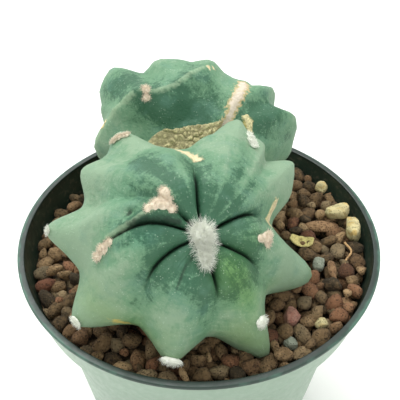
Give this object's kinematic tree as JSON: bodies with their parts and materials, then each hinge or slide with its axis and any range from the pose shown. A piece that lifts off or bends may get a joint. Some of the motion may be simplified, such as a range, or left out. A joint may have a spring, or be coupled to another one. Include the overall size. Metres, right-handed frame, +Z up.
{
  "type": "potted blue barrel cactus",
  "caption": "Spineless blue-green barrel cactus with a scarred old stem and a ribbed young head leaning forward, in a gravel-filled round plastic pot.",
  "frame": {"origin": "middle of the pot's foot, on the surface it stands on", "axes": "+Z up along the pot's axis, -Y towards the side that the young head leans to"},
  "size_m": [0.12, 0.12, 0.1367],
  "materials": {
    "pot": "satin",
    "gravel": "matte",
    "cactus": "satin",
    "wool": "matte",
    "pumice": "matte",
    "pink_stone": "matte",
    "grey_stone": "matte",
    "rootlet": "matte",
    "husk": "matte"
  },
  "bodies": {
    "root": {"pot": "pot", "gravel": "gravel", "cactus": "cactus", "wool_crown": "wool", "wool_shoulder": "wool", "wool_left_slope": "wool", "wool_right_slope": "wool", "wool_left_tip": "wool", "wool_lower_left_tip": "wool", "wool_front_tip": "wool", "wool_lower_right": "wool", "wool_upper_right": "wool", "wool_upper_left": "wool", "wool_old_stem": "wool", "pumice_slab": "pumice", "pumice_block": "pumice", "pumice_pebble": "pumice", "pink_stone": "pink_stone", "yellow_pebble": "pumice", "grey_pebble": "grey_stone", "grey_chip": "grey_stone", "rootlet": "rootlet", "husk": "husk"}
  },
  "joints": []
}
